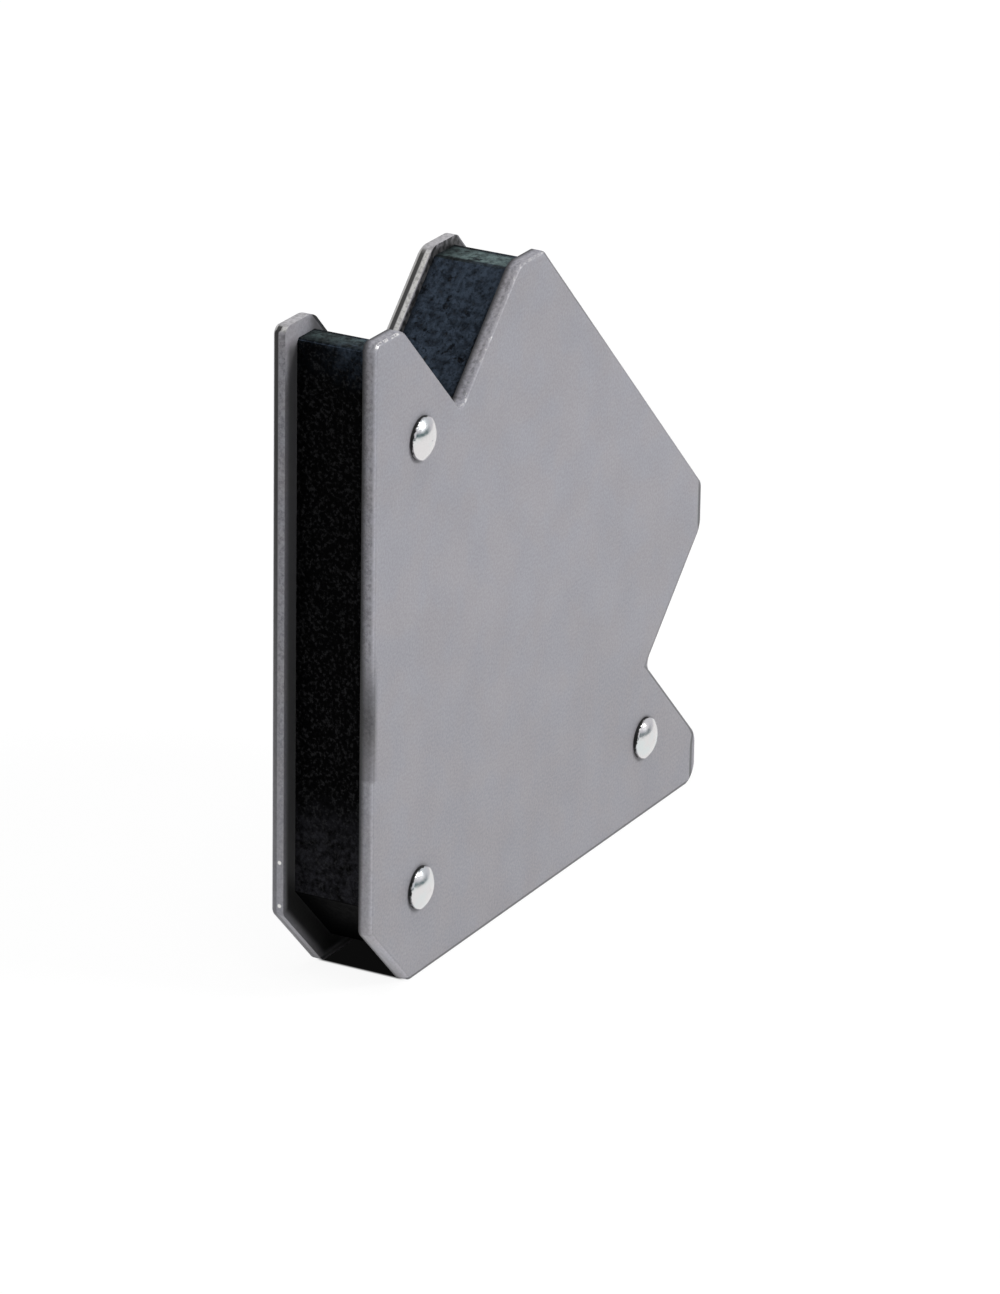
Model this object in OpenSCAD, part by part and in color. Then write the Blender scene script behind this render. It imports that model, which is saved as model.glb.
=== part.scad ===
// Magnetic welding square in the shape of an arrow. Two steel plates stand on edge, with a
// black spacer frame and two ferrite blocks riveted between them. X runs along the lower
// leg, Z up the other leg and Y through the thickness, with the front plate at -Y. The
// origin is the middle of the lower leg, on the surface that it stands on. Millimetres.

/* [Outline] */
// Length of each working leg, measured from the corner of the right angle
leg = 76; // [64:1:120]
// Length cut off each leg where the corner of the right angle is cleared
tip_cut = 8.6; // [4:0.2:12]
// Width of the square end of each barb
barb_w = 5.9; // [5:0.1:9]
// Radius of the lower barb's corner at its working edge
foot_corner_r = 2.5; // [1:0.1:3]
// Radius of the upper barb's corner at its working edge
top_corner_r = 1.1; // [1:0.1:3]
// Radius of the two corners at the mouth of each notch
mouth_r = 3; // [1:0.1:4]
// Radius of the corners at the long edge and at the cleared corner
corner_r = 1.5; // [1:0.1:2.5]
// Depth of each right-angled notch between barb and stem
notch_depth = 12.8; // [8:0.1:15]
// Radius at the root of each notch
notch_root_r = 1.2; // [0.4:0.1:3]
// Width of the square shoulder at each end of the long edge
shoulder_w = 5.5; // [4:0.1:12]

/* [Plates] */
// Thickness of each steel plate
plate_t = 1.6; // [1.4:0.1:3]
// Radius rolled onto the outer edge of each plate
edge_r = 0.5; // [0.2:0.1:0.9]

/* [Spacer frame] */
// Thickness of the spacer frame, which is the gap between the plates
spacer_t = 9.4; // [6:0.2:20]
// How far the spacer frame stays back from the working edges
leg_recess = 2.5; // [0.8:0.1:4]
// How far the spacer frame stays back at the cleared corner
tip_recess = 3.1; // [1:0.1:5]
// How far the spacer frame stays back at the square end of each barb
end_recess = 1.9; // [0.8:0.1:3]
// How far the spacer frame stays back in the notches, at the shoulders and at the long edge
recess = 1.1; // [0.8:0.1:3]
// Radius of the spacer frame's outer corners
spacer_corner_r = 0.6; // [0.3:0.1:1.5]

/* [Magnet blocks] */
// Length of each ferrite block, across the arrow
magnet_l = 38; // [20:1:42]
// Width of each ferrite block, along the arrow
magnet_w = 20; // [10:1:22]
// Gap left round each block in its pocket
pocket_gap = 0.2; // [0.05:0.05:0.5]
// Least wall of the spacer frame outside a pocket
pocket_wall = 2.6; // [1.5:0.1:4]

/* [Rivets] */
// Diameter of the rivet shanks
rivet_d = 3.2; // [2.4:0.1:4]
// Diameter of the rivet heads
rivet_head_d = 4.9; // [4.6:0.1:8]
// Height of a rivet head above the plate
rivet_head_h = 1.4; // [1.2:0.1:2]
// Height of the rim under the dome of a rivet head, before its edge is rounded
rivet_rim_h = 0.5; // [0.3:0.05:0.7]
// Radius of the rounded edge between the rim and the dome
rivet_edge_r = 0.4; // [0.3:0.05:0.6]
// Gap between a rivet shank and its hole
rivet_gap = 0.08; // [0.02:0.01:0.2]
// Distance of the rivet at the tip from each leg's working edge
tip_rivet_in = 10.5; // [8:0.1:14]
// Distance of the rivet in each barb from the working edge
barb_rivet_in = 9.9; // [6:0.1:12]
// Distance of the rivet in each barb from the end of its leg
barb_rivet_end = 13.3; // [11:0.1:18]

/* [Hidden] */
$fn = 64;

plate_grey = [0.63, 0.63, 0.65];
spacer_black = [0.08, 0.08, 0.09];
ferrite_grey = [0.24, 0.24, 0.25];
zinc_bright = [0.86, 0.87, 0.88];

// An arc's radius is this much more than a tangent one's, so that it meets its edges at an angle
relief = 0.02;
rivet_relief = 0.006;

shoulder_start = barb_w + 2 * notch_depth;
shoulder_end = shoulder_start + shoulder_w;

// One half of the plates' outline, from the cleared corner along the lower leg to the long
// edge. Each point is where two edges would meet, with the radius of the arc between them third
function plate_half(barb_corner_r) = [
    [tip_cut, 0, corner_r],
    [leg, 0, barb_corner_r],
    [leg, barb_w, mouth_r],
    [leg - notch_depth, barb_w + notch_depth, notch_root_r],
    [leg, shoulder_start, mouth_r],
    [leg, shoulder_end, corner_r],
];

// The same half of the spacer frame's outline, with each edge set back by its own recess
slant = sqrt(2) * recess;
spacer_half = [
    [tip_cut + sqrt(2) * tip_recess - leg_recess, leg_recess, spacer_corner_r],
    [leg - end_recess, leg_recess, spacer_corner_r],
    [leg - end_recess, barb_w + end_recess - slant, spacer_corner_r],
    [leg - notch_depth - slant, barb_w + notch_depth, notch_root_r + recess],
    [leg - recess, shoulder_start - recess + slant, spacer_corner_r],
    [leg - recess, shoulder_end + recess - slant, spacer_corner_r],
];

// A whole outline, anticlockwise: a lower half, and an upper one mirrored about the arrow's axis
function outline(lower, upper) =
    concat(lower, [for (i = [len(upper) - 1 : -1 : 0]) [upper[i].y, upper[i].x, upper[i].z]]);

// Distances along the arrow's axis, from the corner of the right angle
long_edge_s = (leg + shoulder_end) / sqrt(2);
tip_magnet_s = sqrt(2) * (leg_recess + pocket_wall) + (magnet_l + magnet_w) / 2;
stem_magnet_s = long_edge_s - recess - pocket_wall - magnet_w / 2;

rivet_places = [
    [tip_rivet_in, tip_rivet_in],
    [leg - barb_rivet_end, barb_rivet_in],
    [barb_rivet_in, leg - barb_rivet_end],
];

function unit(v) = v / norm(v);
function direction(v) = atan2(v.y, v.x);
function place(p) = [p.x, p.y];
function at(points, i) = points[(i + len(points)) % len(points)];

// Outward normal of the edge after point i
function outward(points, i) =
    let (along = unit(place(at(points, i + 1)) - place(at(points, i))))
        [along.y, -along.x];

// Angle by which the outline turns at point i, negative in a notch
function turn(points, i) =
    let (m = outward(points, i - 1), n = outward(points, i))
        atan2(m.x * n.y - m.y * n.x, m * n);

// Where point i goes when both of its edges move outwards by d
function moved(points, i, d) =
    let (m = outward(points, i - 1), n = outward(points, i))
        place(points[i]) + (m + n) * d / (1 + m * n);

// Radius of the arc at point i, negative in a notch, where the arc bends the other way
function bend(points, i) = sign(turn(points, i)) * points[i].z;

function arc_centre(points, i) = moved(points, i, -bend(points, i));

// The two points where the arc at point i meets its edges
function arc_ends(points, i) = [
    for (edge = [i - 1, i]) arc_centre(points, i) + outward(points, edge) * bend(points, i)
];

// How much of each edge the arc at point i takes up
function arc_reach(points, i) = points[i].z * tan(abs(turn(points, i)) / 2);

plate_outline = outline(plate_half(foot_corner_r), plate_half(top_corner_r));
spacer_outline = outline(spacer_half, spacer_half);

// What is cut off the outer corner at point i to leave its arc
module corner_off(points, i) {
    ends = arc_ends(points, i);
    difference() {
        polygon([ends[0], moved(points, i, points[i].z), ends[1]]);
        translate(arc_centre(points, i)) circle(points[i].z + relief);
    }
}

// Flat shape of an outline, with its arcs
module flat_shape(points) {
    difference() {
        polygon([
            for (i = [0 : len(points) - 1])
                each turn(points, i) < 0 ? arc_ends(points, i) : [place(points[i])]
        ]);
        for (i = [0 : len(points) - 1])
            if (turn(points, i) < 0)
                translate(arc_centre(points, i)) circle(points[i].z + relief);
            else
                corner_off(points, i);
    }
}

// Section of what is rolled off an edge: a square corner without its quarter round
module rolled_off(r) {
    difference() {
        square(2 * r);
        circle(r);
    }
}

// What is rolled off along the edge after point i: past an outer corner, and up to a notch root
module roll_edge(points, i, r) {
    next = (i + 1) % len(points);
    start = turn(points, i) < 0 ? arc_reach(points, i) : -r;
    stop = norm(place(points[next]) - place(points[i])) - (turn(points, next) < 0 ? arc_reach(points, next) : -r);
    translate(place(points[i]))
        rotate([0, 0, direction(outward(points, i))])
            translate([-r, stop, 0])
                rotate([90, 0, 0]) linear_extrude(stop - start) rolled_off(r);
}

// What is rolled off round the arc at point i, whose middle is inside the outline
module roll_corner(points, i, r) {
    translate(arc_centre(points, i))
        rotate([0, 0, direction(outward(points, i - 1))])
            rotate_extrude(angle = turn(points, i))
                translate([points[i].z + relief - r, 0]) rolled_off(r);
}

// What is rolled off round the root of a notch, whose middle is outside the outline
module roll_root(points, i, r) {
    translate(arc_centre(points, i))
        rotate_extrude()
            translate([points[i].z + relief + r, 0])
                mirror([1, 0]) rolled_off(r);
}

// Plate of thickness t on an outline, with its upper edge rolled to the radius r all round
module rolled_plate(points, t, r) {
    difference() {
        linear_extrude(t) flat_shape(points);
        translate([0, 0, t - r])
            for (i = [0 : len(points) - 1]) {
                roll_edge(points, i, r);
                if (turn(points, i) < 0)
                    roll_root(points, i, r);
                else
                    roll_corner(points, i, r);
            }
    }
}

// Stands a flat piece on the lower leg, with its underside at distance y in front of the middle
module stand(y) {
    translate([-leg / 2, -y, 0]) rotate([90, 0, 0]) children();
}

module rivet_holes(h) {
    for (p = rivet_places)
        translate([p.x, p.y, -h / 2]) cylinder(d = rivet_d + 2 * rivet_gap, h = 2 * h);
}

// Places a flat piece on the arrow's axis, at distance s from the corner of the right angle
module on_axis(s) {
    rotate(45) translate([s, 0, 0]) children();
}

module magnet_outline(gap) {
    square([magnet_w + 2 * gap, magnet_l + 2 * gap], center = true);
}

module front_plate() {
    color(plate_grey)
        stand(spacer_t / 2)
            difference() {
                rolled_plate(plate_outline, plate_t, edge_r);
                rivet_holes(plate_t);
            }
}

module back_plate() {
    color(plate_grey) mirror([0, 1, 0]) front_plate();
}

module spacer_frame() {
    color(spacer_black)
        stand(-spacer_t / 2)
            difference() {
                linear_extrude(spacer_t) flat_shape(spacer_outline);
                for (s = [tip_magnet_s, stem_magnet_s])
                    on_axis(s)
                        translate([0, 0, -spacer_t / 2])
                            linear_extrude(2 * spacer_t) magnet_outline(pocket_gap);
                rivet_holes(spacer_t);
            }
}

module magnet_block(s) {
    stand(-spacer_t / 2)
        on_axis(s) linear_extrude(spacer_t) magnet_outline(0);
}

module tip_magnet() {
    color(ferrite_grey) magnet_block(tip_magnet_s);
}

module stem_magnet() {
    color(ferrite_grey) magnet_block(stem_magnet_s);
}

// Half section of a rivet head: a rim and a low dome, with a rounded edge between them
module rivet_head_section() {
    head_r = rivet_head_d / 2;
    dome_h = rivet_head_h - rivet_rim_h;
    dome_r = (pow(head_r, 2) + pow(dome_h, 2)) / (2 * dome_h);
    dome_z = rivet_head_h - dome_r;
    edge_x = head_r - rivet_edge_r;
    edge_z = dome_z + sqrt(pow(dome_r - rivet_edge_r, 2) - pow(edge_x, 2));
    slope = atan2(edge_z - dome_z, edge_x);
    reach = 2 * rivet_edge_r;
    difference() {
        intersection() {
            translate([0, dome_z]) circle(dome_r);
            square([head_r, rivet_head_h]);
        }
        translate([edge_x, edge_z])
            difference() {
                polygon([[0, 0], [reach, 0], reach * [1, tan(slope / 2)], reach * [cos(slope), sin(slope)]]);
                circle(rivet_edge_r + rivet_relief);
            }
    }
}

module rivet() {
    grip = spacer_t + 2 * plate_t;
    translate([0, 0, -grip / 2]) cylinder(d = rivet_d, h = grip);
    for (side = [0, 1])
        mirror([0, 0, side])
            translate([0, 0, grip / 2])
                rotate_extrude() rivet_head_section();
}

module rivets() {
    color(zinc_bright)
        stand(0)
            for (p = rivet_places)
                translate([p.x, p.y, 0]) rivet();
}

front_plate();
back_plate();
spacer_frame();
tip_magnet();
stem_magnet();
rivets();
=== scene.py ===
# Magnetic welding square on a pale floor, standing on its lower leg and seen from the left front.
# The frame's solids hold every shape. This script gives each surface its finish, and adds the
# floor, the lights and the camera. Metres, in the frame's own axes.
import math

import bpy
from mathutils import Matrix, Vector

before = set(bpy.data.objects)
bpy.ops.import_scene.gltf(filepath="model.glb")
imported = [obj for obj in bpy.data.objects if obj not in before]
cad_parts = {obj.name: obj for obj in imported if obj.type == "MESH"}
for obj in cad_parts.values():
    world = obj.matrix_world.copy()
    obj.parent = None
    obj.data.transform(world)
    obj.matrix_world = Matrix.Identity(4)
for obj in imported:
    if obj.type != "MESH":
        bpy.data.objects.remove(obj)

MM = 0.001

# Camera: direction from the object to the camera, and its lens for a sensor on the long side
CAM_AZIMUTH = math.radians(61.367)
CAM_ELEVATION = math.radians(21.407)
CAM_ROLL = math.radians(0.865)
CAM_AIM = Vector((-2.593, -2.276, 29.412)) * MM
CAM_DISTANCE = 819.36 * MM
CAM_LENS = 205.295
CAM_CLIP = (0.05, 20.0)
SENSOR = 36.0

# Lights: even fill that is stronger from the left and from behind, a soft lamp in front and a
# wide one overhead, each aimed at the object's middle
FILL_LEVEL = 0.12
FILL_LEFT = 0.25
FILL_BEHIND = 0.20
KEY_DIRECTION = Vector((0.28, -0.79, 0.54))
KEY_DISTANCE = 0.9
KEY_SIZE = 0.28
KEY_POWER = 5.05
TOP_DIRECTION = Vector((-0.20, -0.10, 1.0))
TOP_DISTANCE = 0.9
TOP_SIZE = 0.5
TOP_POWER = 4.0

# Floor: white to the camera and in reflections, with a soft shadow near the object. What it
# throws back on the object comes from a small white sheet, with a dark table beyond it
FLOOR_RADIUS = 3.0
FLOOR_SIDES = 96
FLOOR_DROP = 0.02 * MM
FLOOR_ROUGHNESS = 0.9
SHEET_RADIUS = 0.13
SHEET_EDGE = 0.10
SHADOW_NEAR = 0.12
SHADOW_FAR = 0.32
FLOOR_GLOW = 0.90
GLOW_STRENGTH = 1.03

# The room in reflections: a dark band in front, up to the sine of a low elevation, and pale
# above it and to the right, from these shares of the direction's X
ROOM_LOW = 0.12
ROOM_HIGH = 0.23
ROOM_FRONT = 0.45
ROOM_RIGHT = 0.90
ROOM_DARK = (0.095, 0.150, 0.160)
ROOM_PALE = (0.70, 0.70, 0.74)

# Colours, linear
PAINT = (0.341, 0.335, 0.366)
# The paint lower down, darker with painted shade
PAINT_SHADED_LOW = (0.290, 0.285, 0.307)
# Painted shade on rolls that face right, and in the line inside the right edges
PAINT_SHADE_DARK = (0.110, 0.110, 0.115)
PAINT_WARM = (1.012, 1.0, 0.988)
PAINT_COOL = (0.988, 1.0, 1.012)
# Dirt, and painted shade round the rivets and along the back plate's line
PAINT_GRIME_AND_SHADE = (0.030, 0.029, 0.028)
# Painted shade in the recess between the plates, on their inner faces
RECESS_SHADE = (0.058, 0.058, 0.059)
RUBBED = (0.74, 0.73, 0.71)
# Bare steel in the chips, and as painted glints on rolls that face up
BARE_STEEL_AND_GLINT = (0.78, 0.77, 0.75)
PLASTIC = (0.0008, 0.0008, 0.0009)
PLASTIC_SPECK = (0.019, 0.019, 0.020)
# Dust on the spacer, with painted light: paler the more a face turns up, and in patches on the
# sides
DUST_AND_LIGHT_ON_SIDE = (0.030, 0.030, 0.036)
DUST_AND_LIGHT_ON_SLOPE = (0.048, 0.065, 0.092)
DUST_AND_LIGHT_ON_TOP = (0.130, 0.178, 0.177)
FERRITE = (0.045, 0.045, 0.048)
FERRITE_LIGHT = (0.075, 0.074, 0.076)
ZINC = (0.705, 0.690, 0.690)
ZINC_TINT = (0.62, 0.72, 0.72)
# Painted shade on the rivets' rims: grey underneath
RIM_GREY = (0.075, 0.075, 0.075)
# Black painted shade: on the inner faces, on the rivets' rims and on the floor under the object
SHADE_BLACK = (0.004, 0.004, 0.004)
FLOOR = (0.93, 0.93, 0.93)
FLOOR_BEYOND = (0.05, 0.06, 0.055)
WHITE = (1.0, 1.0, 1.0)

# Rivets, as in the frame: distance from each leg's working edge, along X and Z
LEG = 76.0 * MM
TIP_RIVET_IN = 10.5 * MM
BARB_RIVET_IN = 9.9 * MM
BARB_RIVET_END = 13.3 * MM
RIVET_HEAD_R = 2.45 * MM
RIVET_RIM_H = 0.5 * MM
RIVET_PLACES = [
    (TIP_RIVET_IN, TIP_RIVET_IN),
    (LEG - BARB_RIVET_END, BARB_RIVET_IN),
    (BARB_RIVET_IN, LEG - BARB_RIVET_END),
]

# Plates and spacer, as in the frame
HALF_GAP = 4.7 * MM
HALF_GRIP = 6.3 * MM
TIP_CUT = 8.6 * MM
BARB_W = 5.9 * MM
SHOULDER_START = 31.5 * MM
SHOULDER_END = 37.0 * MM

# Chips of bare metal on the back plate's left edge
CHIPS = [(-38.0 * MM, 5.2 * MM, 9.6 * MM), (-38.0 * MM, 5.2 * MM, 14.7 * MM)]
CHIP_R = 0.28 * MM
CHIP_CORE = 0.6 * CHIP_R

# Each span below is a pair of values that a finish changes between: distances, heights, values
# of a noise, or shares of a surface's normal. A remap turns a span into RISE, FALL or another
# pair. Most values of a noise lie in the span NOISE
RISE = (0.0, 1.0)
FALL = (1.0, 0.0)
NOISE = (0.3, 0.7)


class Nodes:
    """A node tree, and short calls that add nodes to it."""

    def __init__(self, tree):
        self.tree = tree

    def node(self, kind, **settings):
        """A new node of this kind, with these settings."""
        made = self.tree.nodes.new(kind)
        for key, value in settings.items():
            setattr(made, key, value)
        return made

    def put(self, socket, value):
        """Links the value to the socket if it is another socket, and sets it there if not."""
        if isinstance(value, bpy.types.NodeSocket):
            self.tree.links.new(value, socket)
        elif isinstance(value, tuple) and len(value) == 3 and socket.type == "RGBA":
            socket.default_value = (*value, 1.0)
        else:
            socket.default_value = value

    def parts(self, vector):
        """The vector's X, Y and Z."""
        made = self.node("ShaderNodeSeparateXYZ")
        self.put(made.inputs[0], vector)
        return made.outputs["X"], made.outputs["Y"], made.outputs["Z"]

    def remap(self, value, span, to=RISE, kind="SMOOTHSTEP"):
        """The span's two values become the other pair's, and stay so past its ends."""
        made = self.node("ShaderNodeMapRange", interpolation_type=kind)
        self.put(made.inputs["Value"], value)
        made.inputs["From Min"].default_value = span[0]
        made.inputs["From Max"].default_value = span[1]
        made.inputs["To Min"].default_value = to[0]
        made.inputs["To Max"].default_value = to[1]
        return made.outputs["Result"]

    def band(self, value, span, soft):
        """1 in the span, falling to 0 over the soft width inside each of its ends."""
        low, high = span
        return self.times(
            self.remap(value, (low, low + soft)),
            self.remap(value, (high - soft, high), FALL),
        )

    def maths(self, operation, a, b=0.0):
        made = self.node("ShaderNodeMath", operation=operation)
        self.put(made.inputs[0], a)
        self.put(made.inputs[1], b)
        return made.outputs[0]

    def fold(self, operation, values):
        """One value from several, taken two at a time from the first."""
        total = values[0]
        for value in values[1:]:
            total = self.maths(operation, total, value)
        return total

    def times(self, *values):
        return self.fold("MULTIPLY", values)

    def plus(self, *values):
        return self.fold("ADD", values)

    def minus(self, a, b):
        return self.maths("SUBTRACT", a, b)

    def most(self, *values):
        return self.fold("MAXIMUM", values)

    def least(self, *values):
        return self.fold("MINIMUM", values)

    def mix(self, share, a, b):
        """Colour a where share is 0, and colour b where it is 1."""
        made = self.node("ShaderNodeMix", data_type="RGBA")
        self.put(made.inputs["Factor"], share)
        self.put(made.inputs["A"], a)
        self.put(made.inputs["B"], b)
        return made.outputs["Result"]

    def shade(self, colour, level):
        """The colour multiplied by a level near 1."""
        made = self.node("ShaderNodeMix", data_type="RGBA", blend_type="MULTIPLY")
        made.inputs["Factor"].default_value = 1.0
        self.put(made.inputs["A"], colour)
        self.put(made.inputs["B"], level)
        return made.outputs["Result"]

    def switch(self, share, otherwise, chosen):
        """The chosen shader where share is 1, and the other one where it is 0."""
        made = self.node("ShaderNodeMixShader")
        self.put(made.inputs[0], share)
        self.put(made.inputs[1], otherwise)
        self.put(made.inputs[2], chosen)
        return made.outputs[0]

    def by_ray(self, rays, otherwise, chosen):
        """The chosen shader for these kinds of ray, and the other one for the rest."""
        path = self.node("ShaderNodeLightPath")
        return self.switch(self.most(*[path.outputs[ray] for ray in rays]), otherwise, chosen)


class Shader(Nodes):
    """A material with one Principled shader, and where each place on its surface is and faces."""

    def __init__(self, name):
        self.material = bpy.data.materials.new(name)
        self.material.use_nodes = True
        super().__init__(self.material.node_tree)
        self.surface = self.tree.nodes["Principled BSDF"]
        coordinates = self.node("ShaderNodeTexCoord")
        self.place = coordinates.outputs["Object"]
        self.x, self.y, self.z = self.parts(self.place)
        rightwards, backwards, self.upwards = self.parts(coordinates.outputs["Normal"])
        self.leftwards = self.times(rightwards, -1.0)
        self.across = self.maths("ABSOLUTE", backwards)
        self.depth = self.maths("ABSOLUTE", self.y)

    def noise(self, size, detail=2.0, roughness=0.5, stretch=(1.0, 1.0, 1.0)):
        """Noise from 0 to 1, with features of about this size in metres."""
        scaled = self.node("ShaderNodeVectorMath", operation="MULTIPLY")
        self.put(scaled.inputs[0], self.place)
        scaled.inputs[1].default_value = stretch
        made = self.node("ShaderNodeTexNoise")
        self.put(made.inputs["Vector"], scaled.outputs[0])
        made.inputs["Scale"].default_value = 1.0 / size
        made.inputs["Detail"].default_value = detail
        made.inputs["Roughness"].default_value = roughness
        return made.outputs["Fac"]

    def bump(self, height, depth, strength):
        made = self.node("ShaderNodeBump")
        made.inputs["Strength"].default_value = strength
        made.inputs["Distance"].default_value = depth
        self.put(made.inputs["Height"], height)
        return made.outputs["Normal"]

    def finish(self, **sockets):
        """Sets the shader's own sockets, each named with underscores for spaces."""
        for name, value in sockets.items():
            self.put(self.surface.inputs[name.replace("_", " ")], value)
        return self.material


def near(s, places, span, weights=(1.0, 1.0, 1.0)):
    """1 up to the span's first distance from any of the places, falling to 0 at its second."""
    distances = []
    for place in places:
        flat = s.node("ShaderNodeVectorMath", operation="MULTIPLY")
        s.put(flat.inputs[0], s.place)
        flat.inputs[1].default_value = weights
        distance = s.node("ShaderNodeVectorMath", operation="DISTANCE")
        s.put(distance.inputs[0], flat.outputs[0])
        distance.inputs[1].default_value = place
        distances.append(distance.outputs["Value"])
    return s.remap(s.least(*distances), span, FALL)


def near_rivets(s, span):
    """The same for distances from the rivets' axes, whatever the depth."""
    axes = [(along - LEG / 2, 0.0, up) for along, up in RIVET_PLACES]
    return near(s, axes, span, (1.0, 0.0, 1.0))


def across_slant(s, a, b, offset):
    """Distance from a line at half a right angle: (a + b + offset) over the root of 2."""
    return s.times(s.plus(a, b, offset), math.sqrt(0.5))


def insides(s):
    """How far a place is inside the plates' outline, from each group of its edges."""
    along = s.plus(s.x, LEG / 2)
    left = s.times(along, -1.0)
    up = s.z
    down = s.times(up, -1.0)
    cut = across_slant(s, along, up, -TIP_CUT)
    long_edge = across_slant(s, left, down, LEG + SHOULDER_END)
    barb_faces = across_slant(s, left, down, LEG + BARB_W)
    side_stem = across_slant(s, left, up, LEG - SHOULDER_START)
    upper_stem = across_slant(s, along, down, LEG - SHOULDER_START)
    side_notch = s.most(barb_faces, side_stem)
    notches = s.least(side_notch, s.most(barb_faces, upper_stem))
    return {
        "cut": cut,
        "working": s.least(cut, along, up),
        "long_edge": long_edge,
        "slants": s.least(long_edge, notches),
        "notches": notches,
        "side_notch": side_notch,
        "right_end": s.plus(left, LEG),
        "top_end": s.plus(down, LEG),
        "foot": up,
    }


# How far a barb reaches in from its leg's working edge
BARB_REACH = (9.0 * MM, 12.0 * MM)

# Paint: its grain, and the height below which painted shade makes it darker
SPECKLE_SIZE = 0.3 * MM
SPECKLE_LIGHT = (0.885, 1.115)
CLOUD_SIZE = 7.0 * MM
CLOUD_LIGHT = (-0.03, 0.03)
TINT_SIZE = 4.0 * MM
TINT_SPAN = (0.35, 0.65)
DARKER_BELOW = (0.0, 60.0 * MM)


def mottled_paint(s, speckle):
    """The paint's colour: fine mottling, faint clouds and tints, and painted shade lower down."""
    clouds = s.noise(CLOUD_SIZE, detail=3.0)
    light = s.plus(s.remap(speckle, NOISE, SPECKLE_LIGHT), s.remap(clouds, NOISE, CLOUD_LIGHT))
    # Painted shade: darker towards the bottom
    colour = s.shade(s.mix(s.remap(s.z, DARKER_BELOW, FALL), PAINT, PAINT_SHADED_LOW), light)
    tint = s.remap(s.noise(TINT_SIZE), TINT_SPAN)
    return s.shade(colour, s.mix(tint, PAINT_WARM, PAINT_COOL))


# Edges: the share of a normal across the plates, from a face's to an edge's. The front plate's
# have painted shade, dark at the inner arris, over a width that shrinks lower down, and the back
# plate's have one level. The roll has painted light on upright edges and painted shade on ones
# that face up, and painted light makes both paler at the foot
EDGE_NORMAL = (0.97, 0.80)
RAMP_WIDTH = (0.0, 0.85 * MM)
RAMP_LEVEL = (0.10, 1.10)
RAMP_HEIGHT = (5.0 * MM, 25.0 * MM)
RAMP_SPEED = (1.6, 1.0)
TO_BACK = (0.0, 1.0 * MM)
BACK_LEVEL = (0.0, 1.08)
ROLL_DEPTH = (HALF_GAP + 0.6 * MM, HALF_GRIP)
ROLL_UPWARDS = (0.2, 0.6)
ROLL_LIGHT = (0.30, -0.28)
FOOT_HEIGHT = (2.0 * MM, 20.0 * MM)
FOOT_LIGHT = (0.16, 0.0)

# Rubbed paint on the back plate's edges: most on slants, and none on edges that face right
RUBBED_UPWARDS = (0.3, 0.68)
RUBBED_TO_TOP = (0.75, 0.97)
RUBBED_SHARE = (0.85, 0.25)
RUBBED_ACROSS = (0.9, 0.6)
RUBBED_LEFTWARDS = (-0.3, 0.0)


def edge_paint(s, colour):
    """The paint on the edges: painted shade by the front's inner arris, painted light and shade on
    the rolls and at the foot, and rubbed pale on the back.
    """
    # Painted shade at the front's inner arris, painted light and shade on the rolls, painted light
    # at the foot
    from_arris = s.minus(s.times(s.y, -1.0), HALF_GAP)
    from_arris = s.times(from_arris, s.remap(s.z, RAMP_HEIGHT, RAMP_SPEED))
    front = s.remap(from_arris, RAMP_WIDTH, RAMP_LEVEL)
    back = s.remap(s.y, TO_BACK, BACK_LEVEL)
    roll = s.times(s.remap(s.depth, ROLL_DEPTH), s.remap(s.upwards, ROLL_UPWARDS, ROLL_LIGHT))
    level = s.plus(s.most(front, back), roll, s.remap(s.z, FOOT_HEIGHT, FOOT_LIGHT))
    colour = s.mix(s.remap(s.across, EDGE_NORMAL), colour, s.shade(colour, level))
    rubbed = s.times(
        s.remap(s.upwards, RUBBED_UPWARDS),
        s.remap(s.upwards, RUBBED_TO_TOP, RUBBED_SHARE),
        s.remap(s.across, RUBBED_ACROSS),
        s.remap(s.y, TO_BACK),
        s.remap(s.leftwards, RUBBED_LEFTWARDS),
    )
    return s.mix(rubbed, colour, RUBBED)


# The painted shade line, darker: its span from an edge. The distance from the right end counts
# less. At the foot and the long edge the line lies further out by these lengths, and at three
# ranges of height it lies further in by these shifts
LINE_SPAN = (0.08 * MM, 0.56 * MM)
LINE_SOFT = 0.14 * MM
LINE_ACROSS = (0.3, 0.5)
LINE_RIGHT_END = 0.62
LINE_FOOT = 0.40 * MM
LINE_LONG_EDGE = 0.18 * MM
BARB_HEIGHT = (4.5 * MM, 7.5 * MM)
BARB_SHIFT = (0.45 * MM, 0.0)
NOTCH_HEIGHT = (18.0 * MM, 31.0 * MM)
NOTCH_SOFT = 2.0 * MM
NOTCH_SHIFT = 0.20 * MM
UPPER_HEIGHT = (30.5 * MM, 32.5 * MM)
UPPER_SHIFT = (0.0, 0.12 * MM)

# Its strength: high on the barb, low above it, and higher again at the shoulder and near the top
LINE_BARB_TOP = (17.5 * MM, 19.5 * MM)
LINE_STRENGTH = (0.92, 0.40)
LINE_TOP = (58.0 * MM, 66.0 * MM)
LINE_TOP_MORE = (0.0, 0.35)
LINE_SHOULDER = (29.5 * MM, 38.5 * MM)
LINE_SHOULDER_SOFT = 2.5 * MM
LINE_SHOULDER_MORE = 0.50


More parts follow.
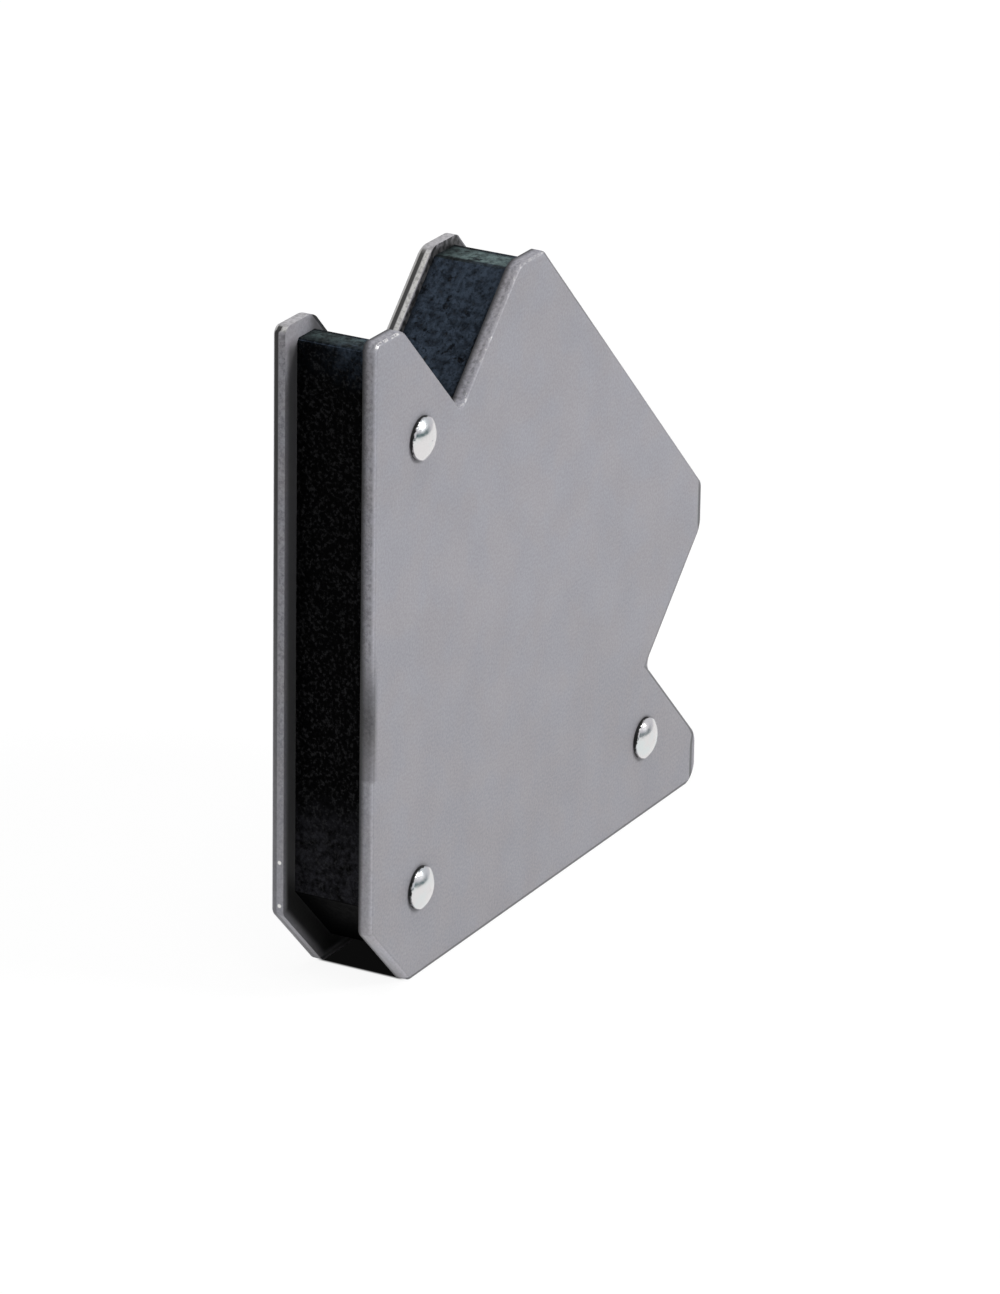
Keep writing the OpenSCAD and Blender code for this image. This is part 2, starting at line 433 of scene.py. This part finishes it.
def painted_shade_line(s, inside):
    """Painted shade line inside the front's right, lower and long edges, further in at the lower
    barb.
    """
    rim = s.least(
        inside["side_notch"],
        s.times(inside["right_end"], LINE_RIGHT_END),
        s.plus(inside["foot"], LINE_FOOT),
        s.plus(inside["long_edge"], LINE_LONG_EDGE),
    )
    rim = s.minus(rim, s.remap(s.z, BARB_HEIGHT, BARB_SHIFT))
    rim = s.minus(rim, s.remap(s.z, UPPER_HEIGHT, UPPER_SHIFT))
    rim = s.minus(rim, s.times(s.band(s.z, NOTCH_HEIGHT, NOTCH_SOFT), NOTCH_SHIFT))
    line = s.times(s.band(rim, LINE_SPAN, LINE_SOFT), s.remap(s.across, LINE_ACROSS))
    strength = s.plus(
        s.remap(s.z, LINE_BARB_TOP, LINE_STRENGTH),
        s.remap(s.z, LINE_TOP, LINE_TOP_MORE),
        s.times(s.band(s.z, LINE_SHOULDER, LINE_SHOULDER_SOFT), LINE_SHOULDER_MORE),
    )
    return s.times(line, strength)


# Painted shade on the inner faces: its spans from the working edges, the top end and the
# slants, and its share by height
RECESS_SHADE_RISE = (0.0, 1.2 * MM)
RECESS_SHADE_AT_EDGE = (0.28, 1.0)
RECESS_SHADE_FALL = (4.0 * MM, 6.5 * MM)
RECESS_SHADE_BELOW_TOP = (1.2 * MM, 3.2 * MM)
RECESS_SHADE_BY_SLANTS = (0.05 * MM, 0.60 * MM)
RECESS_SHADE_HEIGHT = (20.0 * MM, 60.0 * MM)
RECESS_SHADE_SHARE = (0.98, 0.87)


def plate_recess_shade(s, inside, inner):
    """Painted shade on the inner faces: thinner at the working edges, and close up to the other
    ones.
    """
    fall = s.remap(inside["working"], RECESS_SHADE_FALL, FALL)
    working = s.times(
        s.remap(inside["working"], RECESS_SHADE_RISE, RECESS_SHADE_AT_EDGE),
        fall,
        s.remap(inside["top_end"], RECESS_SHADE_BELOW_TOP),
    )
    others = s.least(inside["slants"], inside["top_end"])
    others = s.times(s.remap(others, RECESS_SHADE_BY_SLANTS), s.minus(1.0, fall))
    recess_shade = s.times(s.least(s.plus(working, others), 1.0), inner)
    return s.times(recess_shade, s.remap(s.z, RECESS_SHADE_HEIGHT, RECESS_SHADE_SHARE))


# Black painted shade: its spans from the working edges, the cut corner, the notches and the slants
CORNER_AWAY = (0.5 * MM, 1.3 * MM)
CORNER_REACH = (2.5 * MM, 5.0 * MM)
CORNER_SHARE = (0.85, 0.0)
NOTCH_REACH = (0.30 * MM, 0.50 * MM)
NOTCH_SHARE = (0.92, 0.0)
BESIDE_AWAY = (0.10 * MM, 0.35 * MM)
BESIDE_SIZE = 0.8 * MM
BESIDE_NOISE = (0.40, 0.58)
BESIDE_SHARE = (0.35, 0.92)


def inner_black(s, inside, inner):
    """Black painted shade on the inner faces: at the cut corner, by the notches, and in rags by
    the slants.
    """
    away = s.remap(inside["working"], CORNER_AWAY)
    corner = s.times(away, s.remap(inside["cut"], CORNER_REACH, CORNER_SHARE))
    at_barb = s.remap(inside["working"], BARB_REACH, FALL)
    line = s.times(s.remap(inside["notches"], NOTCH_REACH, NOTCH_SHARE), at_barb)
    ragged = s.remap(s.noise(BESIDE_SIZE, detail=3.0), BESIDE_NOISE, BESIDE_SHARE)
    beside = s.times(s.remap(inside["slants"], BESIDE_AWAY), ragged, s.minus(1.0, at_barb))
    return s.times(s.most(corner, line, beside), inner)


# The back plate's black line of painted shade: the share of a normal to the left, from a slant's
# to an upright edge's, and the depth where the line starts and ends on each
SLANT_TO_UPRIGHT = (0.80, 0.95)
BACK_LINE_START = (HALF_GRIP - 1.0 * MM, HALF_GRIP - 0.77 * MM)
BACK_LINE_END = (HALF_GRIP - 0.42 * MM, HALF_GRIP + 0.4 * MM)
START_SOFT = (-0.08 * MM, 0.10 * MM)
END_SOFT = (-0.08 * MM, 0.04 * MM)
BACK_LINE_ACROSS = (0.97, 0.93)
BACK_LINE_LEFTWARDS = (0.3, 0.6)
BACK_LINE_HEIGHT = (5.0 * MM, 65.0 * MM)
BACK_LINE_SHARE = (0.50, 0.97)


def back_shade_line(s):
    """Black painted shade line on the back plate's left edges: at its roll, or just before it on a
    slant.
    """
    past_start = s.minus(s.y, s.remap(s.leftwards, SLANT_TO_UPRIGHT, BACK_LINE_START))
    past_end = s.minus(s.y, s.remap(s.leftwards, SLANT_TO_UPRIGHT, BACK_LINE_END))
    return s.times(
        s.remap(past_start, START_SOFT),
        s.remap(past_end, END_SOFT, FALL),
        s.remap(s.across, BACK_LINE_ACROSS),
        s.remap(s.leftwards, BACK_LINE_LEFTWARDS),
        s.remap(s.z, BACK_LINE_HEIGHT, BACK_LINE_SHARE),
    )


# Dirt and painted shade: the painted shade's ring round the rivets, the dirt's share on the
# edges, which painted shade makes heavier higher up, and the smudge's spans
RING_SPAN = (RIVET_HEAD_R, RIVET_HEAD_R + 0.35 * MM)
RING_SHARE = 0.28
GRIMY_ACROSS = (0.6, 0.1)
GRIMY_NOISE = (0.40, 0.66)
GRIMY_SHARE = (0.0, 0.40)
GRIMY_HEIGHT = (4.0 * MM, 45.0 * MM)
GRIME_SHADE_BY_HEIGHT = (0.10, 1.0)
SMUDGE_START = (26.1 * MM, 26.7 * MM)
SMUDGE_END = (33.5 * MM, 43.0 * MM)
SMUDGE_DEEPER = (26.5 * MM, 33.5 * MM)
SMUDGE_BY_HEIGHT = (0.55, 1.0)
SMUDGE_WIDTH = (0.1 * MM, 1.3 * MM)
SMUDGE_SHARE = (0.80, 0.0)
SMUDGE_MOTTLE = (0.82, 1.0)


def plate_grime_and_shade(s, inside, fine):
    """Painted shade round the rivets and in the back's line, dirt on the edges that painted shade
    makes heavier higher up, and dirt in a smudge on the left.
    """
    # Painted contact shade in a ring round the rivets
    ring = s.times(near_rivets(s, RING_SPAN), RING_SHARE)
    on_edge = s.times(
        s.remap(s.across, GRIMY_ACROSS),
        s.remap(fine, GRIMY_NOISE, GRIMY_SHARE),
        # Painted shade: the dirt on the edges is heavier higher up
        s.remap(s.z, GRIMY_HEIGHT, GRIME_SHADE_BY_HEIGHT),
    )
    smudge = s.times(
        s.remap(s.z, SMUDGE_START),
        s.remap(s.z, SMUDGE_END, FALL),
        s.remap(s.z, SMUDGE_DEEPER, SMUDGE_BY_HEIGHT),
        s.remap(s.y, (0.0, -HALF_GAP)),
        s.remap(inside["working"], SMUDGE_WIDTH, SMUDGE_SHARE),
        s.remap(fine, NOISE, SMUDGE_MOTTLE),
    )
    return s.most(ring, back_shade_line(s), on_edge, smudge)


# Painted glints, as bare steel: patches on the rolls that face up, and more of them at the upper
# ends, mostly on the left
PATCH_SIZE = 6.0 * MM
PATCH_SPAN = (0.4, 0.6)
PATCH_SHARE = (0.0, 0.6)
GLINT_NOISE = (0.54, 0.66)
TOP_HEIGHT = (73.5 * MM, 75.2 * MM)
TOP_NOISE = (0.45, 0.6)
TOP_LEFTWARDS = (-0.25, -0.05)
TOP_ALONG = (-20.0 * MM, -12.0 * MM)
TOP_SHARE = (1.0, 0.30)
GLINT_ACROSS = (0.4, 0.95)
GLINT_SOFT = 0.1
GLINT_UPWARDS = (0.1, 0.4)


def bare_steel_and_glints(s, fine):
    """Bare steel in the back plate's chips, and painted glints as bare steel on rolls that face
    up.
    """
    patches = s.remap(s.noise(PATCH_SIZE, detail=1.0), PATCH_SPAN, PATCH_SHARE)
    at_top = s.times(
        s.remap(s.z, TOP_HEIGHT),
        s.remap(fine, TOP_NOISE),
        s.remap(s.leftwards, TOP_LEFTWARDS),
        s.remap(s.x, TOP_ALONG, TOP_SHARE),
    )
    bare_and_glint = s.times(
        s.plus(s.times(s.remap(fine, GLINT_NOISE), patches), at_top),
        s.band(s.across, GLINT_ACROSS, GLINT_SOFT),
        s.remap(s.upwards, GLINT_UPWARDS),
    )
    return s.most(bare_and_glint, near(s, CHIPS, (CHIP_CORE, CHIP_R)))


# The rest of the paint: painted shade on right-facing rolls, the inner faces, gloss and orange
# peel
FINE_SIZE = 0.45 * MM
SHADED_LEFTWARDS = (-0.05, -0.35)
SHADED_SHARE = (0.0, 0.3)
SHADED_ACROSS = (0.97, 0.995)
INNER_DEPTH = (HALF_GAP, HALF_GAP + 0.05 * MM)
PAINT_ROUGHNESS = (0.44, 0.52)
BARE_AND_GLINT_METAL = 0.8
BARE_AND_GLINT_SMOOTHER = 0.15
PAINT_SPECULAR = 0.25
PEEL_SIZE = 0.5 * MM
PEEL_DEPTH = 0.02 * MM
PEEL_STRENGTH = 0.4


def plate_paint():
    """Matte grey paint: fine mottling, painted glints on upper edges, painted shade inside and on
    the edges, and dirt on the edges.
    """
    s = Shader("plate_paint")
    inside = insides(s)
    speckle = s.noise(SPECKLE_SIZE, detail=3.0, roughness=0.65)
    fine = s.noise(FINE_SIZE, detail=4.0, roughness=0.65)

    colour = edge_paint(s, mottled_paint(s, speckle))
    # Painted shade on rolls that face right, and the painted shade line inside the right edges
    shaded = s.times(
        s.remap(s.leftwards, SHADED_LEFTWARDS, SHADED_SHARE),
        s.remap(s.across, SHADED_ACROSS, FALL),
    )
    colour = s.mix(s.most(shaded, painted_shade_line(s, inside)), colour, PAINT_SHADE_DARK)
    inner = s.remap(s.depth, INNER_DEPTH, FALL)
    # Painted shade in the recess between the plates
    colour = s.mix(plate_recess_shade(s, inside, inner), colour, RECESS_SHADE)
    # Black painted shade on the inner faces
    colour = s.mix(inner_black(s, inside, inner), colour, SHADE_BLACK)
    # Dirt, and painted shade round the rivets and in the back plate's line
    colour = s.mix(plate_grime_and_shade(s, inside, fine), colour, PAINT_GRIME_AND_SHADE)

    # Bare steel in the chips, and painted glints on rolls that face up
    bare_and_glint = bare_steel_and_glints(s, fine)
    gloss = s.remap(speckle, NOISE, PAINT_ROUGHNESS)
    return s.finish(
        Base_Color=s.mix(bare_and_glint, colour, BARE_STEEL_AND_GLINT),
        Metallic=s.times(bare_and_glint, BARE_AND_GLINT_METAL),
        Roughness=s.minus(gloss, s.times(bare_and_glint, BARE_AND_GLINT_SMOOTHER)),
        Specular_IOR_Level=PAINT_SPECULAR,
        Normal=s.bump(s.noise(PEEL_SIZE, detail=1.5), PEEL_DEPTH, PEEL_STRENGTH),
    )


# Dust on what faces up: its blotches, little of it on what faces far left, and its loss to
# painted contact shade at the seams, whose lines wander by up to SEAM_RAGGED
DUST_UPWARDS = (0.25, 0.65)
DUST_MOTTLE = (0.32, 0.66)
DUST_MOTTLE_SHARE = (0.25, 1.0)
DUST_LEFTWARDS = (0.74, 0.82)
DUST_LEFTWARDS_SHARE = (1.0, 0.1)
DUST_FINE = (0.3, 0.5)
DUST_FINE_SHARE = (0.3, 1.0)
PIT_SIZE = 1.3 * MM
PIT_NOISE = (0.34, 0.42)
PIT_SHARE = (0.15, 1.0)
SEAM_RAGGED = (-0.30 * MM, 0.30 * MM)
FRONT_SEAM = (HALF_GAP - 1.0 * MM, HALF_GAP - 0.6 * MM)
FRONT_SEAM_SHARE = (1.0, 0.04)
BACK_SEAM = (HALF_GAP - 0.50 * MM, HALF_GAP - 0.2 * MM)
BACK_SEAM_SHARE = (1.0, 0.5)

# Painted shade that keeps the film off corners between a slope and the top, and off the top: its
# border, the barbs and the back
CORNER_UPWARDS = (0.72, 0.995)
CORNER_SOFT = 0.03
CORNER_SHADE = 0.85
ON_TOP = (0.8, 0.98)
BORDER_REACH = (1.40 * MM, 1.85 * MM)
BORDER_SHADE = (0.95, 0.0)
BARB_TOP = (2.5 * MM, 6.0 * MM)
BARB_SHADE = (0.90, 0.45)
TOWARDS_BACK = (1.0 * MM, HALF_GAP)
BACK_SHADE = (0.0, 0.75)


def top_painted_shade(s):
    """Painted shade on the top: most at its border and on the barbs, and more towards the back."""
    inside = insides(s)
    return s.most(
        s.remap(inside["slants"], BORDER_REACH, BORDER_SHADE),
        s.times(
            s.remap(inside["working"], BARB_TOP, BARB_SHADE),
            s.remap(inside["working"], BARB_REACH, FALL),
        ),
        s.remap(s.y, TOWARDS_BACK, BACK_SHADE),
    )


def spacer_dust_and_shade(s, mottle, fine):
    """How thickly dust lies on what faces up: blotched, and kept off seams and corners by painted
    shade.
    """
    pits = s.noise(PIT_SIZE, detail=3.0, roughness=0.6)
    ragged = s.remap(mottle, NOISE, SEAM_RAGGED)
    dust_and_seam_shade = s.times(
        s.remap(s.upwards, DUST_UPWARDS),
        s.remap(mottle, DUST_MOTTLE, DUST_MOTTLE_SHARE),
        s.remap(s.leftwards, DUST_LEFTWARDS, DUST_LEFTWARDS_SHARE),
        s.remap(fine, DUST_FINE, DUST_FINE_SHARE),
        s.remap(pits, PIT_NOISE, PIT_SHARE),
        # Painted contact shade at the seams
        s.remap(s.minus(ragged, s.y), FRONT_SEAM, FRONT_SEAM_SHARE),
        s.remap(s.plus(ragged, s.y), BACK_SEAM, BACK_SEAM_SHARE),
    )
    # Painted shade at corners and on the top
    corner = s.times(s.band(s.upwards, CORNER_UPWARDS, CORNER_SOFT), CORNER_SHADE)
    bare = s.most(corner, s.times(s.remap(s.upwards, ON_TOP), top_painted_shade(s)))
    return s.times(dust_and_seam_shade, s.minus(1.0, bare))


# Plastic: its specks, and patchy dust with painted light on the upright faces low down and at the
# top
MOTTLE_SIZE = 0.9 * MM
DUST_GRAIN_SIZE = 0.35 * MM
GRIT_SIZE = 0.38 * MM
GRIT_NOISE = (0.48, 0.70)
GRIT_UPWARDS = (-0.5, -0.1)
PATCHY_MOTTLE = (0.30, 0.78)
PATCHY_FINE = (0.30, 0.60)
PATCHY_FINE_SHARE = (0.5, 1.0)
PATCHY_UPWARDS = (-0.4, -0.1)
LOW_DUST = (4.0 * MM, 24.0 * MM)
LOW_DUST_SOFT = 8.0 * MM
HIGH_DUST = (69.0 * MM, 73.5 * MM)
HIGH_DUST_DEPTH = (2.0 * MM, -2.0 * MM)
HIGH_DUST_SHARE = (0.1, 0.9)
SLOPE_TO_TOP = (0.75, 0.98)
PLASTIC_ROUGHNESS = (0.45, 0.6)
PLASTIC_SPECULAR = 0.01
PLASTIC_GRAIN_SIZE = 0.3 * MM
PLASTIC_GRAIN_DEPTH = 0.03 * MM
PLASTIC_GRAIN_STRENGTH = 0.6


def spacer_black():
    """Black moulded plastic: fine specks, dust with painted light on its upper faces, paler the
    more they face up, and painted shade that keeps seams and corners black.
    """
    s = Shader("spacer_black")
    mottle = s.noise(MOTTLE_SIZE, detail=4.0, roughness=0.65)
    fine = s.noise(DUST_GRAIN_SIZE, detail=3.0, roughness=0.7)
    grit = s.noise(GRIT_SIZE, detail=3.0, roughness=0.6)
    specks = s.times(s.remap(grit, GRIT_NOISE), s.remap(s.upwards, GRIT_UPWARDS))
    bare = s.mix(specks, PLASTIC, PLASTIC_SPECK)

    patchy = s.times(
        s.remap(mottle, PATCHY_MOTTLE),
        s.remap(fine, PATCHY_FINE, PATCHY_FINE_SHARE),
        s.remap(s.upwards, PATCHY_UPWARDS),
    )
    low = s.band(s.z, LOW_DUST, LOW_DUST_SOFT)
    high = s.times(s.remap(s.z, HIGH_DUST), s.remap(s.y, HIGH_DUST_DEPTH, HIGH_DUST_SHARE))
    # Dust patches with painted light, low down and near the top
    bare = s.mix(s.times(patchy, low), bare, DUST_AND_LIGHT_ON_SIDE)
    bare = s.mix(s.times(patchy, high), bare, DUST_AND_LIGHT_ON_SLOPE)

    # Painted light: the film is paler the more a face turns up
    film = s.mix(s.remap(s.upwards, SLOPE_TO_TOP), DUST_AND_LIGHT_ON_SLOPE, DUST_AND_LIGHT_ON_TOP)
    grain = s.noise(PLASTIC_GRAIN_SIZE, detail=3.0)
    return s.finish(
        Base_Color=s.mix(spacer_dust_and_shade(s, mottle, fine), bare, film),
        Roughness=s.remap(mottle, NOISE, PLASTIC_ROUGHNESS),
        Specular_IOR_Level=PLASTIC_SPECULAR,
        Normal=s.bump(grain, PLASTIC_GRAIN_DEPTH, PLASTIC_GRAIN_STRENGTH),
    )


# Ferrite: its grain's size and tones, its pits, and how deep both go
FERRITE_GRAIN_SIZE = 0.25 * MM
FERRITE_TONES = (0.35, 0.65)
FERRITE_PIT_SIZE = 0.9 * MM
FERRITE_PITS = (0.3, 0.4)
FERRITE_ROUGHNESS = (0.6, 0.75)
FERRITE_SPECULAR = 0.4
FERRITE_DEPTH = 0.05 * MM
FERRITE_STRENGTH = 0.7


def ferrite():
    """Sintered ferrite: dark grey with a fine grain and pits."""
    s = Shader("ferrite")
    grain = s.noise(FERRITE_GRAIN_SIZE, detail=4.0, roughness=0.7)
    pits = s.remap(s.noise(FERRITE_PIT_SIZE, detail=2.0), FERRITE_PITS)
    return s.finish(
        Base_Color=s.mix(s.remap(grain, FERRITE_TONES), FERRITE, FERRITE_LIGHT),
        Roughness=s.remap(grain, NOISE, FERRITE_ROUGHNESS),
        Specular_IOR_Level=FERRITE_SPECULAR,
        Normal=s.bump(s.times(grain, pits), FERRITE_DEPTH, FERRITE_STRENGTH),
    )


# Zinc: its tint and press marks, and the painted shade on the rim, whose top wanders and is
# lower underneath, where it is grey
ZINC_TINT_SIZE = 2.2 * MM
ZINC_TINT_NOISE = (0.40, 0.7)
ZINC_TINT_SHARE = (0.0, 0.45)
MARK_SIZE = 0.5 * MM
SCRATCH_SIZE = 0.3 * MM
SCRATCH_STRETCH = (1.0, 1.0, 0.12)
RIM_RAGGED = (-0.22 * MM, 0.08 * MM)
RIM_UPWARDS = (-0.6, 0.2)
RIM_LOWER = (-0.16 * MM, 0.0)
RIM_SOFT = (-0.10 * MM, 0.05 * MM)
RIM_TONE = (-0.8, 0.0)
ZINC_ROUGHNESS = (0.14, 0.24)
RIM_ROUGHER = 0.6
MARK_DEPTH = 0.006 * MM
MARK_STRENGTH = 0.3


def rivet_zinc():
    """Bright zinc plating: slight tint and press marks, with painted shade round the rim."""
    s = Shader("rivet_zinc")
    tint = s.remap(s.noise(ZINC_TINT_SIZE, detail=2.0), ZINC_TINT_NOISE, ZINC_TINT_SHARE)
    marks = s.noise(MARK_SIZE, detail=3.0, roughness=0.6)
    scratches = s.noise(SCRATCH_SIZE, detail=2.0, stretch=SCRATCH_STRETCH)
    rim_top = s.plus(s.remap(marks, NOISE, RIM_RAGGED), HALF_GRIP + RIVET_RIM_H)
    rim_top = s.plus(rim_top, s.remap(s.upwards, RIM_UPWARDS, RIM_LOWER))
    # Painted shade on the rim
    rim_shade = s.remap(s.minus(s.depth, rim_top), RIM_SOFT, FALL)
    rim = s.mix(s.remap(s.upwards, RIM_TONE), RIM_GREY, SHADE_BLACK)
    return s.finish(
        Base_Color=s.mix(rim_shade, s.mix(tint, ZINC, ZINC_TINT), rim),
        Metallic=s.minus(1.0, rim_shade),
        Roughness=s.plus(s.remap(marks, NOISE, ZINC_ROUGHNESS), s.times(rim_shade, RIM_ROUGHER)),
        Normal=s.bump(s.plus(marks, scratches), MARK_DEPTH, MARK_STRENGTH),
    )


FINISHES = {
    "front_plate": plate_paint,
    "back_plate": plate_paint,
    "spacer_frame": spacer_black,
    "tip_magnet": ferrite,
    "stem_magnet": ferrite,
    "rivets": rivet_zinc,
}


def paint_nodes():
    """Gives each of the frame's nodes its finish. Nodes with the same finish share a material."""
    made = {}
    for name, finish in FINISHES.items():
        if finish not in made:
            made[finish] = finish()
        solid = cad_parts[name]
        solid.data.materials.clear()
        solid.data.materials.append(made[finish])


def make_world():
    """White to the camera. Low fill on surfaces. In reflections, a pale room over a dark band."""
    world = bpy.data.worlds.new("studio")
    bpy.context.scene.world = world
    world.use_nodes = True
    w = Nodes(world.node_tree)
    right, back, up = w.parts(w.node("ShaderNodeTexCoord").outputs["Generated"])

    from_left = w.remap(right, (0.0, -1.0), (FILL_LEVEL, FILL_LEVEL + FILL_LEFT), "LINEAR")
    from_behind = w.remap(back, (0.0, 1.0), (0.0, FILL_BEHIND), "LINEAR")
    pale = w.most(w.remap(up, (ROOM_LOW, ROOM_HIGH)), w.remap(right, (ROOM_FRONT, ROOM_RIGHT)))
    fill = w.tree.nodes["Background"]
    room = w.node("ShaderNodeBackground")
    white = w.node("ShaderNodeBackground")
    looks = (
        (fill, WHITE, w.plus(from_left, from_behind)),
        (room, w.mix(pale, ROOM_DARK, ROOM_PALE), 1.0),
        (white, WHITE, 1.0),
    )
    for light, colour, strength in looks:
        w.put(light.inputs["Color"], colour)
        w.put(light.inputs["Strength"], strength)

    seen = w.by_ray(["Is Glossy Ray"], fill.outputs[0], room.outputs[0])
    seen = w.by_ray(["Is Camera Ray", "Is Transmission Ray"], seen, white.outputs[0])
    w.put(w.tree.nodes["World Output"].inputs["Surface"], seen)


# The floor right under the object, where a painted shadow makes it black: from the cut corner to
# near the right end
COVERED_START = (TIP_CUT - LEG / 2 - 0.3 * MM, TIP_CUT - LEG / 2 + 0.3 * MM)
COVERED_SIDE = (HALF_GAP, HALF_GAP + 1.0 * MM)
COVERED_END = (LEG / 2 - 10.0 * MM, LEG / 2 - 1.0 * MM)


def floor_white():
    """White to the camera and in reflections, with the object's shadow and a black painted one
    under it.
    """
    s = Shader("floor")
    out = s.node("ShaderNodeVectorMath", operation="LENGTH")
    s.put(out.inputs[0], s.place)
    far = out.outputs["Value"]
    beyond = s.remap(far, (SHEET_RADIUS, SHEET_RADIUS + SHEET_EDGE))
    s.finish(
        Base_Color=s.mix(beyond, FLOOR, FLOOR_BEYOND),
        Roughness=FLOOR_ROUGHNESS,
        Specular_IOR_Level=0.0,
    )

    # Painted shadow, black, right under the object
    covered = s.times(
        s.remap(s.x, COVERED_START),
        s.remap(s.depth, COVERED_SIDE, FALL),
        s.remap(s.x, COVERED_END, FALL),
    )
    tone = s.mix(covered, WHITE, SHADE_BLACK)
    glow = s.node("ShaderNodeEmission")
    s.put(glow.inputs["Color"], tone)
    glow.inputs["Strength"].default_value = GLOW_STRENGTH
    matte = s.node("ShaderNodeBsdfDiffuse")
    s.put(matte.inputs["Color"], tone)
    glowing = s.remap(far, (SHADOW_NEAR, SHADOW_FAR), (FLOOR_GLOW, 1.0))
    blend = s.switch(glowing, matte.outputs[0], glow.outputs[0])
    rays = ["Is Camera Ray", "Is Transmission Ray", "Is Glossy Ray"]
    shown = s.by_ray(rays, s.surface.outputs[0], blend)
    s.put(s.tree.nodes["Material Output"].inputs["Surface"], shown)
    return s.material


def make_floor():
    """A wide disc just under the object."""
    bpy.ops.mesh.primitive_circle_add(
        vertices=FLOOR_SIDES, radius=FLOOR_RADIUS, fill_type="NGON"
    )
    floor = bpy.context.object
    floor.name = "floor"
    floor.location.z = -FLOOR_DROP
    floor.data.materials.append(floor_white())


def aimed(location, target):
    """Rotation that points an object's -Z from one point to another."""
    return (target - location).to_track_quat("-Z", "Y").to_euler()


def make_lamp(name, direction, distance, size, power):
    """A square lamp that faces the object's middle from this direction."""
    light = bpy.data.lights.new(name, "AREA")
    light.shape = "SQUARE"
    light.size = size
    light.energy = power
    lamp = bpy.data.objects.new(name, light)
    bpy.context.scene.collection.objects.link(lamp)
    middle = Vector((0.0, 0.0, LEG / 2))
    lamp.location = middle + direction.normalized() * distance
    lamp.rotation_euler = aimed(lamp.location, middle)


def make_camera():
    """The photograph's view, with the camera turned a little about its own axis."""
    back = Vector((
        -math.sin(CAM_AZIMUTH) * math.cos(CAM_ELEVATION),
        -math.cos(CAM_AZIMUTH) * math.cos(CAM_ELEVATION),
        math.sin(CAM_ELEVATION),
    ))
    data = bpy.data.cameras.new("camera")
    data.sensor_width = SENSOR
    data.lens = CAM_LENS
    data.clip_start, data.clip_end = CAM_CLIP
    camera = bpy.data.objects.new("camera", data)
    bpy.context.scene.collection.objects.link(camera)
    level = (-back).to_track_quat("-Z", "Y").to_matrix().to_4x4()
    roll = Matrix.Rotation(CAM_ROLL, 4, "Z")
    camera.matrix_world = Matrix.Translation(CAM_AIM + back * CAM_DISTANCE) @ level @ roll
    bpy.context.scene.camera = camera


bpy.context.scene.view_settings.view_transform = "Standard"
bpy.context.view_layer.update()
make_camera()
make_world()
make_floor()
make_lamp("key", KEY_DIRECTION, KEY_DISTANCE, KEY_SIZE, KEY_POWER)
make_lamp("top", TOP_DIRECTION, TOP_DISTANCE, TOP_SIZE, TOP_POWER)
paint_nodes()
